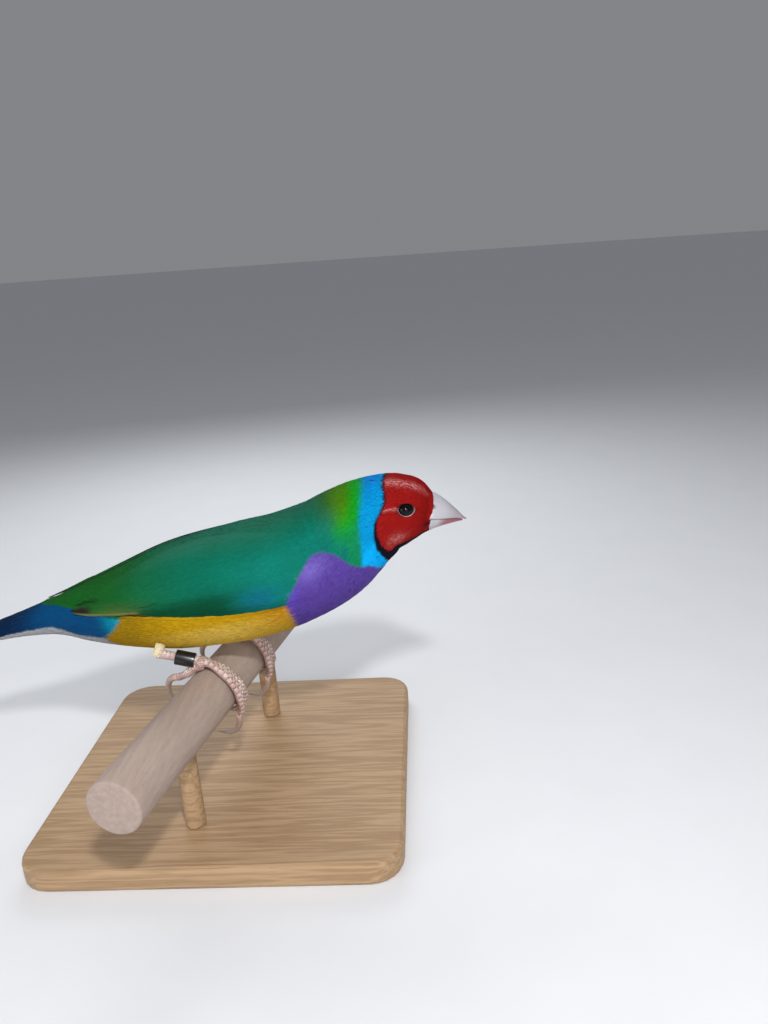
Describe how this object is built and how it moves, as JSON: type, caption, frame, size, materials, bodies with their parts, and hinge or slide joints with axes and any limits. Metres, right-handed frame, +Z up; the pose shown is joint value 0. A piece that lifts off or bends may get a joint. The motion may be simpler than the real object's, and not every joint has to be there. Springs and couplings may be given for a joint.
{
  "type": "gouldian finch on a perch",
  "caption": "Life-size still model of a red-headed gouldian finch gripping a short round perch on a flat display stand, with a plain black leg ring.",
  "frame": {"origin": "middle of the underside of the display stand's base", "axes": "+X forward to the bill, +Y to the bird's left, +Z up"},
  "size_m": [0.1401, 0.098, 0.0856],
  "materials": {
    "mask_red": "soft feathers of the red mask",
    "collar_blue": "soft feathers, sky blue band",
    "body_gold": "soft feathers, gold, violet and green by area",
    "rump_blue": "soft feathers, cobalt and turquoise",
    "wing_green": "flight feathers, green with a faint sheen",
    "tail_dark": "flight feathers, dark with blue edges",
    "bill_ivory": "smooth horn, ivory with a pink tip",
    "eye_dark": "wet and dark",
    "leg_pink": "scaly skin, flesh pink",
    "claw_horn": "smooth horn",
    "ring_black": "smooth black ring",
    "perch_taupe": "fine-grained round wood, weathered",
    "stand_oak": "plain satin wood"
  },
  "bodies": {
    "root": {"bill_lower": "bill_ivory", "bill_upper": "bill_ivory", "claw_left_far": "claw_horn", "claw_left_hind": "claw_horn", "claw_left_middle": "claw_horn", "claw_left_near": "claw_horn", "claw_right_far": "claw_horn", "claw_right_hind": "claw_horn", "claw_right_middle": "claw_horn", "claw_right_near": "claw_horn", "eye_left": "eye_dark", "eye_right": "eye_dark", "foot_left": "leg_pink", "foot_right": "leg_pink", "head": "mask_red", "leg_band": "ring_black", "neck": "collar_blue", "perch": "perch_taupe", "shank_left": "leg_pink", "shank_right": "leg_pink", "stand_base": "stand_oak", "stand_rod_back": "stand_oak", "stand_rod_front": "stand_oak", "tail": "tail_dark", "tail_coverts": "rump_blue", "thigh_left": "body_gold", "thigh_right": "body_gold", "torso": "body_gold", "wing_left": "wing_green", "wing_right": "wing_green"}
  },
  "joints": []
}
